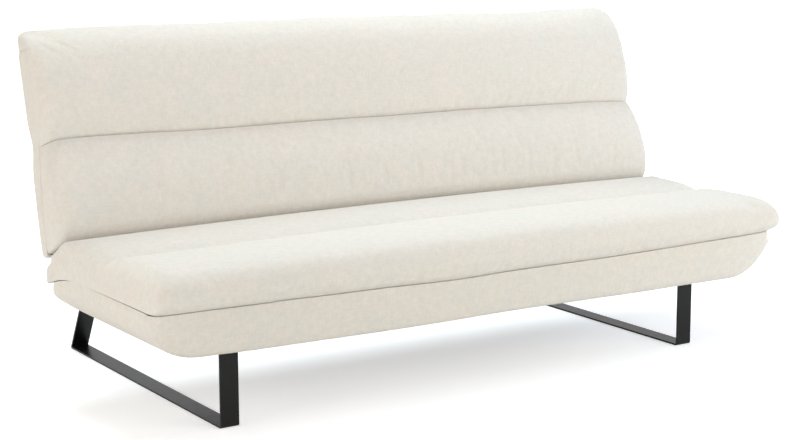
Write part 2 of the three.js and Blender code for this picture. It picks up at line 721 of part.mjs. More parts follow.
function upperPanel() {
  const bottom = BACK_SEAM + GAP / 2;
  const top = BACK_HEIGHT - UPPER_PANEL_CROWN;
  const front = smoothShares(UPPER_PANEL_SHARES, 34).map(([up, out]) => [
    panelFace - out * (out > 0 ? UPPER_PANEL_BULGE : UPPER_PANEL_HOOK),
    bottom + up * (top - bottom),
  ]);
  const ledge = backCoverTop + GAP;
  const skin = front.filter(([y, z]) => z > ledge || y < panelFace).reverse();
  const profile = [[panelFace + UPPER_PANEL_HOOK, ledge], ...skin, [panelFace, bottom], [panelFace, ledge]];
  return backPanel(profile, UPPER_PANEL_END_ROUND, bottom, top, UPPER_PANEL_FLATTENING_SHARE, 0);
}

// Ratchet hinge, round the pivot: an angle is measured from straight up towards the rear.
function polar(radius, degrees) {
  return [radius * Math.sin(radians(degrees)), radius * Math.cos(radians(degrees))];
}

const toothPitch = FOLD_ANGLE / TOOTH_COUNT;
const pawlPin = (() => {
  const [y, z] = polar((TIP_RADIUS + ROOT_RADIUS) / 2, NOTCH_AT);
  const along = radians(NOTCH_AT);
  return [y + PAWL_REACH * Math.cos(along), z - PAWL_REACH * Math.sin(along)];
})();
const crestAngle = NOTCH_AT + toothPitch - TOOTH_LAND; // heel of the pawl's nose, seated in a notch
const openEdge = crestAngle + FORWARD_TRAVEL + OPEN_NOTCH_SLACK; // front of the toothed plate, upright

// The arm that is bolted to the back, in the back's frame, with the toothed plate round its eye.
function hingeArm() {
  const at = (radius, degrees) => polar(radius, degrees - BACK_LEAN);
  const outline = new THREE.Shape();
  const points = [at(ROOT_RADIUS, openEdge), at(ROOT_RADIUS, (openEdge + NOTCH_AT) / 2)];
  for (let i = 0; i <= TOOTH_COUNT; i++) {
    const notch = NOTCH_AT - i * toothPitch;
    points.push(at(ROOT_RADIUS, notch), at(TIP_RADIUS, notch), at(TIP_RADIUS, notch - TOOTH_LAND));
  }
  points.push(at(TIP_RADIUS, NOTCH_AT - FOLD_ANGLE - toothPitch));
  outline.moveTo(...points[0]);
  points.slice(1).forEach((p) => outline.lineTo(...p));
  outline.lineTo(ARM_OFFSET + ARM_HALF_WIDTH, PIVOT_HEAD_RADIUS);
  outline.lineTo(ARM_OFFSET + ARM_HALF_WIDTH, ARM_LENGTH - ARM_HALF_WIDTH);
  outline.absarc(ARM_OFFSET, ARM_LENGTH - ARM_HALF_WIDTH, ARM_HALF_WIDTH, 0, Math.PI, false);
  outline.absarc(0, 0, EYE_RADIUS, radians(90 + 2 * BACK_LEAN), radians(90 + BACK_LEAN - openEdge), false);
  const holes = [[0, 0], ...armBolts].map(([y, z], i) =>
    rodAlongX(
      (i === 0 ? PIVOT_RADIUS : PLATE_BOLT_RADIUS) + RUNNING_GAP,
      armX - OVERRUN,
      armX + PLATE_THICKNESS + OVERRUN,
      [y, z],
    ),
  );
  return cut(plateAlongX(outline, armX, PLATE_THICKNESS), ...holes);
}

// Outline round a few discs, each joined to the next by a straight edge that touches both.
function beltOutline(discs) {
  const outline = new THREE.Shape();
  const arcs = discs.map(([y, z, radius], i) => {
    const [nextY, nextZ, nextRadius] = discs[(i + 1) % discs.length];
    const distance = Math.hypot(nextY - y, nextZ - z);
    const heading = Math.atan2(nextZ - z, nextY - y);
    return { y, z, radius, leave: heading - Math.acos((radius - nextRadius) / distance) };
  });
  arcs.forEach((arc, i) => {
    const previous = arcs[(i + arcs.length - 1) % arcs.length];
    outline.absarc(arc.y, arc.z, arc.radius, previous.leave, arc.leave, false);
  });
  return outline;
}

const stopAngle = openEdge + FOLD_ANGLE + THREE.MathUtils.radToDeg((STOP_LUG / 2 + STOP_GAP) / STOP_RADIUS);
const stopLug = polar(STOP_RADIUS, stopAngle);

function lug([y, z], size) {
  const half = size / 2;
  return block(
    [plateX + PLATE_THICKNESS / 2, armX + PLATE_THICKNESS],
    [y - half, y + half],
    [z - half, z + half],
  );
}

function hingeSeatPlate() {
  const discs = [
    [0, 0, EYE_RADIUS],
    [...stopLug, STOP_LUG],
    [...plateBolts[0], PLATE_TAB_RADIUS],
    [...plateBolts[1], PLATE_TAB_RADIUS],
  ];
  const stop = block(
    [-STOP_LUG / 2, STOP_LUG / 2],
    [-STOP_LUG / 2, STOP_LUG / 2],
    [-PLATE_THICKNESS, PLATE_THICKNESS / 2],
  );
  stop.rotateY(Math.PI / 2).rotateX(-radians(stopAngle));
  stop.translate(armX + PLATE_THICKNESS / 2, ...stopLug);
  const plate = join(
    plateAlongX(beltOutline(discs), plateX, PLATE_THICKNESS),
    stop,
    lug(SPRING_LUG_AT, STOP_LUG),
  );
  const holes = [
    [[0, 0], PIVOT_RADIUS],
    [pawlPin, PAWL_PIN_RADIUS],
    ...plateBolts.map((at) => [at, PLATE_BOLT_RADIUS]),
  ].map(([at, radius]) => rodAlongX(radius + RUNNING_GAP, plateX - OVERRUN, armX - GAP / 2, at));
  return cut(plate, ...holes);
}

function hingeCheek() {
  const discs = [
    [0, 0, EYE_RADIUS],
    [...pawlPin, EYE_RADIUS - PLATE_THICKNESS],
  ];
  return cut(
    plateAlongX(beltOutline(discs), cheekX, CHEEK_THICKNESS),
    rodAlongX(PIVOT_RADIUS + RUNNING_GAP, cheekX - OVERRUN, cheekX + CHEEK_THICKNESS + OVERRUN, [0, 0]),
    rodAlongX(PAWL_PIN_RADIUS + RUNNING_GAP, cheekX - OVERRUN, cheekX + CHEEK_THICKNESS + OVERRUN, pawlPin),
  );
}

// Rivets through seat plate and cheek: the pivot is headed on both sides, the pawl's pin is flush inside.
const rivetOuter = cheekX + CHEEK_THICKNESS + GAP;

function pivotRivet() {
  const inner = plateX - GAP;
  return join(
    rodAlongX(PIVOT_RADIUS, inner - PIVOT_HEAD_HEIGHT / 2, rivetOuter + PIVOT_HEAD_HEIGHT / 2, [0, 0], 24),
    rodAlongX(PIVOT_HEAD_RADIUS, rivetOuter, rivetOuter + PIVOT_HEAD_HEIGHT, [0, 0], 24),
    rodAlongX(PIVOT_HEAD_RADIUS, inner - PIVOT_HEAD_HEIGHT, inner, [0, 0], 24),
  );
}

function pawlRivet() {
  return join(
    rodAlongX(PAWL_PIN_RADIUS, plateX, rivetOuter + PIVOT_HEAD_HEIGHT / 2, pawlPin),
    rodAlongX(PAWL_PIN_HEAD_RADIUS, rivetOuter, rivetOuter + PIVOT_HEAD_HEIGHT, pawlPin),
  );
}

// The pawl, drawn with its nose seated in a notch, in a frame round its pin.
const pawlUnderside = polar(TIP_RADIUS + PAWL_DEPTH, crestAngle);

function pawl() {
  const place = ([y, z]) => [y - pawlPin[0], z - pawlPin[1]];
  const faceAngle = NOTCH_AT + THREE.MathUtils.radToDeg(NOSE_GAP / ROOT_RADIUS);
  const outline = new THREE.Shape();
  outline.moveTo(...place(polar(ROOT_RADIUS + NOSE_GAP, faceAngle)));
  outline.lineTo(...place(polar(TIP_RADIUS + 2 * NOSE_GAP, crestAngle)));
  outline.lineTo(...place(polar(TIP_RADIUS + 2 * NOSE_GAP, crestAngle + toothPitch)));
  outline.absarc(0, 0, PAWL_BOSS_RADIUS, Math.PI / 2, (3 * Math.PI) / 2, false);
  outline.lineTo(...place(pawlUnderside));
  outline.lineTo(...place(polar(TIP_RADIUS + PAWL_DEPTH / 2, faceAngle)));
  return cut(
    plateAlongX(outline, armX, PLATE_THICKNESS),
    rodAlongX(PAWL_PIN_RADIUS + RUNNING_GAP, armX - OVERRUN, armX + PLATE_THICKNESS + OVERRUN, [0, 0]),
  );
}

// A leaf spring that lies on its lug and reaches under the lifted-off pawl.
function pawlSpring() {
  const [lugY, lugZ] = SPRING_LUG_AT;
  const root = [lugY - STOP_LUG / 2, lugZ + STOP_LUG / 2 + GAP];
  const swing = -radians(PAWL_SWING);
  const [underY, underZ] = pawlUnderside.map((value, axis) => value - pawlPin[axis]);
  const tip = [
    pawlPin[0] + underY * Math.cos(swing) - underZ * Math.sin(swing),
    pawlPin[1] + underY * Math.sin(swing) + underZ * Math.cos(swing) - GAP - SPRING_THICKNESS,
  ];
  const outline = new THREE.Shape();
  outline.moveTo(...root);
  outline.lineTo(root[0] + STOP_LUG, root[1]);
  outline.quadraticCurveTo(pawlPin[0], tip[1] - SPRING_SAG, ...tip);
  outline.lineTo(tip[0], tip[1] + SPRING_THICKNESS);
  outline.quadraticCurveTo(
    pawlPin[0],
    tip[1] - SPRING_SAG + SPRING_THICKNESS,
    root[0] + STOP_LUG,
    root[1] + SPRING_THICKNESS,
  );
  outline.lineTo(root[0], root[1] + SPRING_THICKNESS);
  return plateAlongX(outline, armX, PLATE_THICKNESS);
}

function seatBolt(at) {
  return boltAlongX(PLATE_BOLT_RADIUS, frameHalfLength - RAIL_THICKNESS, plateX + PLATE_THICKNESS, at);
}

function armBolt(at) {
  return boltAlongX(PLATE_BOLT_RADIUS, backHalfFrame - RAIL_THICKNESS, armX + PLATE_THICKNESS, at);
}

// Assembly.
const base = new THREE.Group();
const back = new THREE.Group();
back.position.set(0, HINGE_Y, HINGE_Z);
back.rotation.x = -radians(BACK_LEAN);
sofa.add(base, back);

seatFrame(base);
mesh("base_cover", baseCover(), fabric, base);
mesh("dust_cover", dustCover(), lining, base);
mesh("seat_cushion", seatCushion(), fabric, base);
backFrame(back);
mesh("back_rear_cover", backRearCover(), fabric, back);
mesh("back_lower_panel", lowerPanel(), fabric, back);
mesh("back_upper_panel", upperPanel(), fabric, back);

for (const [hand, sign] of [
  ["left", -1],
  ["right", 1],
]) {
  const side = new THREE.Group();
  const backSide = new THREE.Group();
  const hinge = new THREE.Group();
  side.scale.x = sign;
  backSide.scale.x = sign;
  hinge.position.set(0, HINGE_Y, HINGE_Z);
  side.add(hinge);
  base.add(side);
  back.add(backSide);

  seatSide(side, hand);
  mesh(`back_end_rail_${hand}`, backEndRail(), pine, backSide);
  mesh(`hinge_arm_${hand}`, hingeArm(), zincSteel, backSide);
  armBolts.forEach((at, i) => mesh(`arm_bolt_${hand}_${i + 1}`, armBolt(at), zincSteel, backSide));
  mesh(`hinge_seat_plate_${hand}`, hingeSeatPlate(), zincSteel, hinge);
  mesh(`hinge_cheek_${hand}`, hingeCheek(), zincSteel, hinge);
  mesh(`hinge_pivot_${hand}`, pivotRivet(), zincSteel, hinge);
  mesh(`pawl_pin_${hand}`, pawlRivet(), zincSteel, hinge);
  mesh(`pawl_spring_${hand}`, pawlSpring(), zincSteel, hinge);
  plateBolts.forEach((at, i) => mesh(`plate_bolt_${hand}_${i + 1}`, seatBolt(at), zincSteel, hinge));
  const lifted = mesh(`pawl_${hand}`, pawl(), zincSteel, hinge);
  lifted.position.set(0, ...pawlPin);
  lifted.rotation.x = -radians(PAWL_SWING);
}

const part = new THREE.Group();
part.add(sofa);

export default part;
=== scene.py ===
# %% [markdown]
# # A click clack sofa bed
#
# A click clack is a sofa whose back drops flat and makes a bed. This one has a padded back of two
# panels, a seat cushion with one sewn channel, an upholstered base and two sled legs of flat steel.
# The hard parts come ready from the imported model. This script dresses them: it makes every soft part
# anew as cloth over foam, gives each hard part its finish, and sets the studio.

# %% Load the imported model
import json
import math

import bmesh
import bpy
import numpy as np
from mathutils import Matrix, Vector


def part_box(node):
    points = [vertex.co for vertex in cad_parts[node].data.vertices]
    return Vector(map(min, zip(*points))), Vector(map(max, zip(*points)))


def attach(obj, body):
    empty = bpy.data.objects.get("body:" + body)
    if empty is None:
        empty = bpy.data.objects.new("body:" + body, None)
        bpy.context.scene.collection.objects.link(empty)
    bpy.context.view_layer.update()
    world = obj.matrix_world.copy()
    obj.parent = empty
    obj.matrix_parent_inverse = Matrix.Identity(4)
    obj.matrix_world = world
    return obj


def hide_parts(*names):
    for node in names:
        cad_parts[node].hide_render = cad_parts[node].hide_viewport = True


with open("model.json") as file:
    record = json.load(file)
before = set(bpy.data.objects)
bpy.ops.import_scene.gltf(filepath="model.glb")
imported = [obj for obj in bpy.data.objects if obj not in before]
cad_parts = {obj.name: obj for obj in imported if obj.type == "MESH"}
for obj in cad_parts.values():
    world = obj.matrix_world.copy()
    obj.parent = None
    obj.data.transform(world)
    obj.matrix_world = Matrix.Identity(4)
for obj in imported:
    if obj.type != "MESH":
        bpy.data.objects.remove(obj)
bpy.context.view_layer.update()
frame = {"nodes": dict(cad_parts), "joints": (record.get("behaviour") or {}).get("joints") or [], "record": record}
scene = bpy.context.scene
pivot = Vector(next(j["pos_m"] for j in frame["joints"] if j["name"] == "back_hinge"))
print("hard parts:", len(frame["nodes"]), "back pivot:", tuple(round(c, 4) for c in pivot))

# %% [markdown]
# ## The camera
#
# The photograph was taken a little left of the sofa and from standing height. Its camera was worked
# out from the sofa's straight edges, so it is placed here by numbers: where it stands, how far it
# turns and how far it looks down. The lens follows from the focal length in pixels.

# %% Place the camera
YAW, PITCH, ROLL = 0.5752, 0.1799, 0.0022
FOCAL_PX, FRAME_PX, SENSOR_MM = 1735.3, 800, 36

lens = bpy.data.cameras.new("camera")
lens.sensor_width = SENSOR_MM
lens.lens = FOCAL_PX / FRAME_PX * SENSOR_MM
camera = bpy.data.objects.new("camera", lens)
camera.location = (-2.5282, -3.9315, 1.2193)
camera.rotation_euler = (math.pi / 2 - PITCH, ROLL, -YAW)
scene.collection.objects.link(camera)
scene.camera = camera
scene.view_settings.view_transform = "Standard"
print("lens", round(lens.lens, 2), "mm")

# %% [markdown]
# ## The studio
#
# The sofa stands on white paper in soft light. Large area lamps give soft shadows, as softboxes do.
# White paper would need a lot of light to look white, and that would burn out the cream fabric. So
# the paper glows a little, only for the camera and for reflections, and more so far from the sofa,
# where the lamps don't reach. The sofa's shadow takes away the lamps' part alone and stays pale.

# %% Shader helpers


def add_node(owner, kind, **settings):
    """Adds one shader node. A setting is a socket's value, or else an attribute of the node."""
    node = owner.node_tree.nodes.new(kind)
    for name, value in settings.items():
        socket = node.inputs.get(name.replace("_", " ").title())
        if socket is not None:
            socket.default_value = value
        else:
            setattr(node, name, value)
    return node


def join_sockets(owner, *pairs):
    """Links sockets, given as pairs of an output and an input."""
    for output, entry in pairs:
        owner.node_tree.links.new(output, entry)


# %% World and floor
WORLD_LIGHT, WORLD_TINT = 0.35, (1.0, 0.98, 0.94, 1)
PAPER_COLOUR, FLOOR_GLOW, GLOW_NEAR, GLOW_FAR = (0.76, 0.765, 0.785, 1), 0.48, 1.5, 3.2
world = bpy.data.worlds.new("studio")
scene.world = world
world.use_nodes = True
world.node_tree.nodes.clear()
soft_light = add_node(world, "ShaderNodeBackground", Color=WORLD_TINT, Strength=WORLD_LIGHT)
white_view = add_node(world, "ShaderNodeBackground", Color=(1, 1, 1, 1), Strength=1.0)
seen = add_node(world, "ShaderNodeLightPath")
either = add_node(world, "ShaderNodeMath", operation="MAXIMUM")
any_view = add_node(world, "ShaderNodeMath", operation="MAXIMUM")
choose = add_node(world, "ShaderNodeMixShader")
world_out = add_node(world, "ShaderNodeOutputWorld")
join_sockets(
    world,
    (seen.outputs["Is Camera Ray"], either.inputs[0]),
    (seen.outputs["Is Transmission Ray"], either.inputs[1]),
    (either.outputs[0], any_view.inputs[0]),
    (seen.outputs["Is Glossy Ray"], any_view.inputs[1]),
    (any_view.outputs[0], choose.inputs[0]),
    (soft_light.outputs[0], choose.inputs[1]),
    (white_view.outputs[0], choose.inputs[2]),
    (choose.outputs[0], world_out.inputs[0]),
)

paper = bpy.data.materials.new("white_paper")
paper.use_nodes = True
paper.node_tree.nodes.clear()
lit = add_node(paper, "ShaderNodeBsdfDiffuse", Color=PAPER_COLOUR)
paper_place = add_node(paper, "ShaderNodeTexCoord")
distance = add_node(paper, "ShaderNodeVectorMath", operation="LENGTH")
brighter = add_node(paper, "ShaderNodeMapRange", interpolation_type="SMOOTHSTEP")
brighter.inputs["From Min"].default_value = GLOW_NEAR
brighter.inputs["From Max"].default_value = GLOW_FAR
brighter.inputs["To Min"].default_value = FLOOR_GLOW
brighter.inputs["To Max"].default_value = 1
glow = add_node(paper, "ShaderNodeEmission", Color=(1, 1, 1, 1))
paper_view = add_node(paper, "ShaderNodeAddShader")
bounce = add_node(paper, "ShaderNodeBsdfDiffuse", Color=(0.88, 0.87, 0.85, 1))
path = add_node(paper, "ShaderNodeLightPath")
direct = add_node(paper, "ShaderNodeMath", operation="MAXIMUM")
mirrored = add_node(paper, "ShaderNodeMath", operation="MAXIMUM")
pick = add_node(paper, "ShaderNodeMixShader")
paper_out = add_node(paper, "ShaderNodeOutputMaterial")
join_sockets(
    paper,
    (paper_place.outputs["Object"], distance.inputs[0]),
    (distance.outputs["Value"], brighter.inputs["Value"]),
    (brighter.outputs[0], glow.inputs["Strength"]),
    (lit.outputs[0], paper_view.inputs[0]),
    (glow.outputs[0], paper_view.inputs[1]),
    (path.outputs["Is Camera Ray"], direct.inputs[0]),
    (path.outputs["Is Transmission Ray"], direct.inputs[1]),
    (direct.outputs[0], mirrored.inputs[0]),
    (path.outputs["Is Glossy Ray"], mirrored.inputs[1]),
    (mirrored.outputs[0], pick.inputs[0]),
    (bounce.outputs[0], pick.inputs[1]),
    (paper_view.outputs[0], pick.inputs[2]),
    (pick.outputs[0], paper_out.inputs[0]),
)

bm = bmesh.new()
bmesh.ops.create_grid(bm, x_segments=1, y_segments=1, size=30)
floor_mesh = bpy.data.meshes.new("floor")
bm.to_mesh(floor_mesh)
bm.free()
floor = bpy.data.objects.new("floor", floor_mesh)
floor_mesh.materials.append(paper)
scene.collection.objects.link(floor)


def softbox(name, place, target, size, watts, tint=(1, 1, 1)):
    """A square area lamp at a place, aimed at a target."""
    data = bpy.data.lights.new(name, "AREA")
    data.energy, data.size, data.color = watts, size, tint
    lamp = bpy.data.objects.new(name, data)
    lamp.location = place
    lamp.rotation_euler = (Vector(target) - Vector(place)).to_track_quat("-Z", "Y").to_euler()
    scene.collection.objects.link(lamp)
    return lamp


softbox("top_light", (0.2, -0.6, 3.6), (0, 0, 0.3), 3.2, 25, (1.0, 0.93, 0.93))
softbox("front_light", (2.4, -4.4, 1.7), (0.3, 0, 0.4), 3.0, 113, (1.0, 0.965, 0.86))
softbox("left_light", (-4.8, -0.9, 1.4), (-0.9, 0, 0.4), 2.4, 96, (1.0, 0.945, 0.87))
softbox("right_light", (4.6, -1.2, 1.8), (0.9, 0, 0.4), 2.4, 88, (0.55, 0.75, 1.0))
softbox("rear_light", (0.0, 1.6, 3.4), (0, -0.2, 0.4), 2.2, 89, (0.86, 0.99, 1.0))

# %% [markdown]
# ## Cream chenille
#
# The cover is a cream chenille: a plain weave of thick, slightly fuzzy yarn. Close up each yarn
# crossing is a small pillow. From a step away the cloth is nearly even, with short streaks where a
# yarn runs thicker, and faint warm and cool patches. A brick pattern makes the yarn crossings: each
# brick is one float of yarn. It runs along the sofa in one direction and up and over the padding in
# the other, so that it never stretches. On the end faces it runs front to back instead.

# %% Make the chenille
YARN_LENGTH, YARN_WIDTH = 0.0040, 0.0024
STREAK_LONG, STREAK_SHORT = 48, 190


def chenille(name, cream, shade):
    """Cream cloth with yarn-sized relief, thick-yarn streaks, a soft sheen and faint patches."""
    cloth = bpy.data.materials.new(name)
    cloth.use_nodes = True
    surface = cloth.node_tree.nodes["Principled BSDF"]
    surface.inputs["Specular IOR Level"].default_value = 0.15
    surface.inputs["Sheen Weight"].default_value = 0.1
    surface.inputs["Sheen Roughness"].default_value = 0.6

    place = add_node(cloth, "ShaderNodeTexCoord")
    axes = add_node(cloth, "ShaderNodeSeparateXYZ")
    facing = add_node(cloth, "ShaderNodeSeparateXYZ")
    up_and_over = add_node(cloth, "ShaderNodeMath", operation="ADD")
    front_to_back = add_node(cloth, "ShaderNodeMath", operation="SUBTRACT")
    sideways = add_node(cloth, "ShaderNodeMath", operation="ABSOLUTE")
    on_end = add_node(cloth, "ShaderNodeMath", operation="GREATER_THAN")
    on_end.inputs[1].default_value = 0.72
    along = add_node(cloth, "ShaderNodeMix", data_type="FLOAT")
    weave_place = add_node(cloth, "ShaderNodeCombineXYZ")
    join_sockets(
        cloth,
        (place.outputs["Object"], axes.inputs[0]),
        (place.outputs["Normal"], facing.inputs[0]),
        (facing.outputs[0], sideways.inputs[0]),
        (sideways.outputs[0], on_end.inputs[0]),
        (axes.outputs[1], up_and_over.inputs[0]),
        (axes.outputs[2], up_and_over.inputs[1]),
        (axes.outputs[1], front_to_back.inputs[0]),
        (axes.outputs[2], front_to_back.inputs[1]),
        (on_end.outputs[0], along.inputs[0]),
        (axes.outputs[0], along.inputs[2]),
        (front_to_back.outputs[0], along.inputs[3]),
        (along.outputs[0], weave_place.inputs[0]),
        (up_and_over.outputs[0], weave_place.inputs[1]),
    )

    # The thin mortar lines between the bricks are painted darker: this is painted shade in the gaps between the
    # yarns, where the relief also sinks. The two brick tones are the yarns' own random tone.
    weave = add_node(cloth, "ShaderNodeTexBrick", Color1=(1, 1, 1, 1), offset=0.5)
    weave.inputs["Color2"].default_value = (0.84, 0.84, 0.84, 1)
    weave.inputs["Mortar"].default_value = (0.6, 0.6, 0.6, 1)
    weave.inputs["Scale"].default_value = 1
    weave.inputs["Mortar Size"].default_value = 0.0005
    weave.inputs["Mortar Smooth"].default_value = 1
    weave.inputs["Brick Width"].default_value = YARN_LENGTH
    weave.inputs["Row Height"].default_value = YARN_WIDTH

    streaks = []
    for scale in ((STREAK_LONG, STREAK_SHORT, 1), (STREAK_SHORT, STREAK_LONG, 1)):
        stretch = add_node(cloth, "ShaderNodeMapping")
        stretch.inputs["Scale"].default_value = scale
        thick_yarn = add_node(cloth, "ShaderNodeTexNoise", Scale=1, Detail=2, Roughness=0.6)
        join_sockets(
            cloth,
            (weave_place.outputs[0], stretch.inputs[0]),
            (stretch.outputs[0], thick_yarn.inputs["Vector"]),
        )
        streaks.append(thick_yarn)
    streak = add_node(cloth, "ShaderNodeMath", operation="ADD")
    streak_tone = add_node(cloth, "ShaderNodeMapRange")
    streak_tone.inputs["From Min"].default_value = 0.7
    streak_tone.inputs["From Max"].default_value = 1.3
    streak_tone.inputs["To Min"].default_value = 0.955
    streak_tone.inputs["To Max"].default_value = 1.025

    fuzz = add_node(cloth, "ShaderNodeTexNoise", Scale=520, Detail=3, Roughness=0.6)
    patches = add_node(cloth, "ShaderNodeTexNoise", Scale=13, Detail=4, Roughness=0.65)
    blots = add_node(cloth, "ShaderNodeTexNoise", Scale=60, Detail=3, Roughness=0.7)
    blot_tone = add_node(cloth, "ShaderNodeMapRange")
    blot_tone.inputs["From Min"].default_value = 0.3
    blot_tone.inputs["From Max"].default_value = 0.7
    blot_tone.inputs["To Min"].default_value = 0.962
    blot_tone.inputs["To Max"].default_value = 1.028
    both_tones = add_node(cloth, "ShaderNodeMath", operation="MULTIPLY")
    patch_range = add_node(cloth, "ShaderNodeMapRange")
    patch_range.inputs["From Min"].default_value = 0.32
    patch_range.inputs["From Max"].default_value = 0.68
    tone = add_node(cloth, "ShaderNodeMix", data_type="RGBA")
    tone.inputs[6].default_value = (*cream, 1)
    tone.inputs[7].default_value = (*shade, 1)
    yarn = add_node(cloth, "ShaderNodeMix", data_type="RGBA", blend_type="MULTIPLY")
    yarn.inputs[0].default_value = 0.16
    streaky = add_node(cloth, "ShaderNodeVectorMath", operation="SCALE")
    join_sockets(
        cloth,
        (streaks[0].outputs[0], streak.inputs[0]),
        (streaks[1].outputs[0], streak.inputs[1]),
        (streak.outputs[0], streak_tone.inputs[0]),
        (weave_place.outputs[0], weave.inputs["Vector"]),
        (place.outputs["Object"], fuzz.inputs["Vector"]),
        (place.outputs["Object"], patches.inputs["Vector"]),
        (patches.outputs[0], patch_range.inputs[0]),
        (patch_range.outputs[0], tone.inputs[0]),
        (tone.outputs[2], yarn.inputs[6]),
        (weave.outputs["Color"], yarn.inputs[7]),
        (yarn.outputs[2], streaky.inputs[0]),
        (place.outputs["Object"], blots.inputs["Vector"]),
        (blots.outputs[0], blot_tone.inputs[0]),
        (blot_tone.outputs[0], both_tones.inputs[0]),
        (streak_tone.outputs[0], both_tones.inputs[1]),
        (both_tones.outputs[0], streaky.inputs["Scale"]),
        (streaky.outputs[0], surface.inputs["Base Color"]),
    )

    roughness = add_node(cloth, "ShaderNodeMapRange")
    roughness.inputs["To Min"].default_value = 0.88
    roughness.inputs["To Max"].default_value = 1.0
    fuzz_height = add_node(cloth, "ShaderNodeMath", operation="MULTIPLY_ADD")
    fuzz_height.inputs[1].default_value = -0.4
    height = add_node(cloth, "ShaderNodeMath", operation="MULTIPLY_ADD")
    height.inputs[1].default_value = -1.1
    relief = add_node(cloth, "ShaderNodeBump", Strength=0.6, Distance=0.0009, invert=True)
    join_sockets(
        cloth,
        (fuzz.outputs[0], roughness.inputs[0]),
        (roughness.outputs[0], surface.inputs["Roughness"]),
        (fuzz.outputs[0], fuzz_height.inputs[0]),
        (weave.outputs["Fac"], fuzz_height.inputs[2]),
        (streak.outputs[0], height.inputs[0]),
        (fuzz_height.outputs[0], height.inputs[2]),
        (height.outputs[0], relief.inputs["Height"]),
        (relief.outputs[0], surface.inputs["Normal"]),
    )
    return cloth


cream_cloth = chenille("cream_chenille", (0.823, 0.769, 0.713), (0.792, 0.767, 0.717))

# %% [markdown]
# ## How a padded piece is made
#
# Every soft part is long along X and has nearly the same cross-section all the way. So each starts
# as a thin end face of that cross-section, which is pushed along X in steps. The steps crowd
# together near the ends, where the shape turns. Then each point is moved by a rule that draws in the
# ends, and a voxel remesh gives it an even skin. Cloth simulation blows the skin up a little while
# its seams are held, which puts in the small strains that real covers have. Last the piece is
# trimmed flat at its seams, and the seams get their real curve and a narrow valley.

# %% Helpers that make the bar
VOXEL = 0.007


def ease(t):
    """0 below 0, 1 above 1 and a smooth step between."""
    t = np.clip(t, 0, 1)
    return t * t * (3 - 2 * t)


def smooth_line(points, steps=5):
    """A smooth curve through points, as a list of finer points."""
    knots = [Vector(p) for p in points]
    knots = [2 * knots[0] - knots[1], *knots, 2 * knots[-1] - knots[-2]]
    line = []
    for a, b, c, d in zip(knots, knots[1:], knots[2:], knots[3:]):
        for k in range(steps):
            t = k / steps
            bend = (2 * a - 5 * b + 4 * c - d) * t**2 + (3 * b - a - 3 * c + d) * t**3
            line.append((2 * b + (c - a) * t + bend) / 2)
    return line + [knots[-2]]


def curve_through(points):
    """A smooth function through points, each a place along the curve and the value there."""
    line = smooth_line(points, 12)
    places, values = [p[0] for p in line], [p[1] for p in line]
    return lambda place: np.interp(place, places, values)


def end_tuck(x, half_length, end_round):
    """How far round the end a place is: 0 on the straight, 1 at the tip."""
    into = min(1.0, max(0.0, (abs(x) - half_length + end_round) / end_round))
    return 1 - math.sqrt(1 - into**2)


def pushed_bar(section, half_length, rule, steps=80):
    """A bar along X with this section in Y and Z, whose points the rule then moves."""
    bar = bmesh.new()
    face = bar.faces.new([bar.verts.new((-1, p[0], p[1])) for p in section])
    for _ in range(steps):
        pushed = bmesh.ops.extrude_face_region(bar, geom=[face])["geom"]
        face = next(part for part in pushed if isinstance(part, bmesh.types.BMFace))
        bmesh.ops.translate(bar, verts=face.verts, vec=(2 / steps, 0, 0))
    for point in bar.verts:
        x = half_length * math.sin(point.co.x * math.pi / 2)
        point.co = rule(x, point.co.y, point.co.z)
    bmesh.ops.recalc_face_normals(bar, faces=bar.faces)
    return bar


def finished(name, bar):
    """A new object made of a bmesh."""
    data = bpy.data.meshes.new(name)
    bar.to_mesh(data)
    bar.free()
    piece = bpy.data.objects.new(name, data)
    scene.collection.objects.link(piece)
    return piece


# %% Helpers that turn the bar into cloth


def settle_modifiers(piece):
    """Makes the result of a piece's modifiers its own mesh."""
    bpy.context.view_layer.update()
    data = bpy.data.meshes.new_from_object(piece.evaluated_get(bpy.context.evaluated_depsgraph_get()))
    piece.modifiers.clear()
    old, piece.data = piece.data, data
    bpy.data.meshes.remove(old)


def even_skin(piece, voxel=VOXEL, relax=3):
    """Gives a piece an even skin of small faces, and smooths it."""
    remesh = piece.modifiers.new("even skin", "REMESH")
    remesh.mode, remesh.voxel_size = "VOXEL", voxel
    settle_modifiers(piece)
    skin = bmesh.new()
    skin.from_mesh(piece.data)
    all_axes = {"use_axis_x": True, "use_axis_y": True, "use_axis_z": True}
    for _ in range(relax):
        bmesh.ops.smooth_vert(skin, verts=skin.verts, factor=0.5, **all_axes)
    skin.to_mesh(piece.data)
    skin.free()


def points_of(piece):
    """A piece's points as rows of x, y and z."""
    flat = np.empty(len(piece.data.vertices) * 3)
    piece.data.vertices.foreach_get("co", flat)
    return flat.reshape(-1, 3)


def set_points(piece, points):
    """Moves a piece's points to these places."""
    piece.data.vertices.foreach_set("co", points.ravel())
    piece.data.update()


PRESSURE, SLACK, BLOW_FRAMES = 3, 0.006, 14


